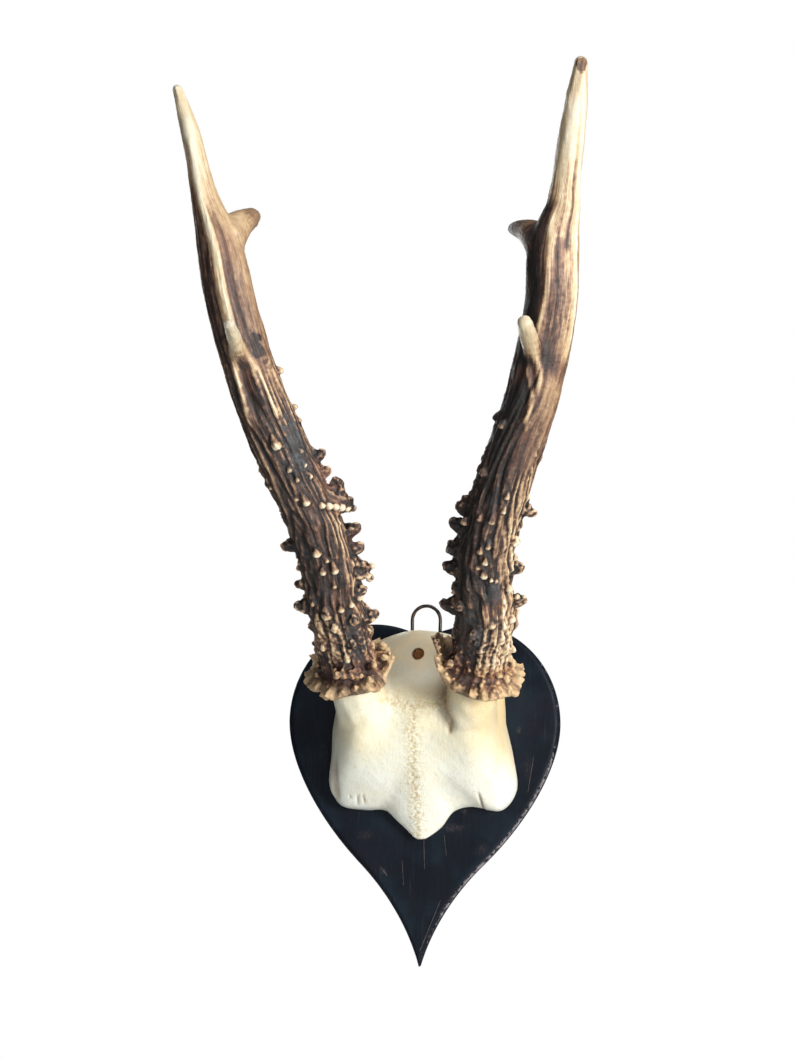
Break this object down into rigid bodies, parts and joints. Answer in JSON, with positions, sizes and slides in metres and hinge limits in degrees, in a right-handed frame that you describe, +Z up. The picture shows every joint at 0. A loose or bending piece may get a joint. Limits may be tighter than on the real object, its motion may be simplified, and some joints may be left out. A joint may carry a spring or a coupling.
{
  "type": "roe deer antler mount",
  "caption": "Roe deer skull cap with branched, pearled antlers on a black heart-shaped wooden board, with a wire loop at the top to hang it on a wall.",
  "frame": {"origin": "on the board's flat back, on its centre line at the level where the board is widest", "axes": "+Z up, +X to the viewer's right, +Y into the wall; the antlers point up and out along -Y"},
  "size_m": [0.1345, 0.1293, 0.2963],
  "materials": {
    "board_paint": "thin black paint, worn at the edges",
    "bone": "boiled and bleached bone, matt with a slight sheen",
    "antler": "dark brown grooves and tan ridges, cream pearls, polished ivory tips",
    "iron_wire": "dark oxidised iron wire",
    "rusty_steel": "brown rust"
  },
  "bodies": {
    "root": {"backboard": "board_paint", "skull_plate": "bone", "antler_left": "antler", "antler_right": "antler", "hanger_loop": "iron_wire", "fixing_screw": "rusty_steel"}
  },
  "joints": []
}
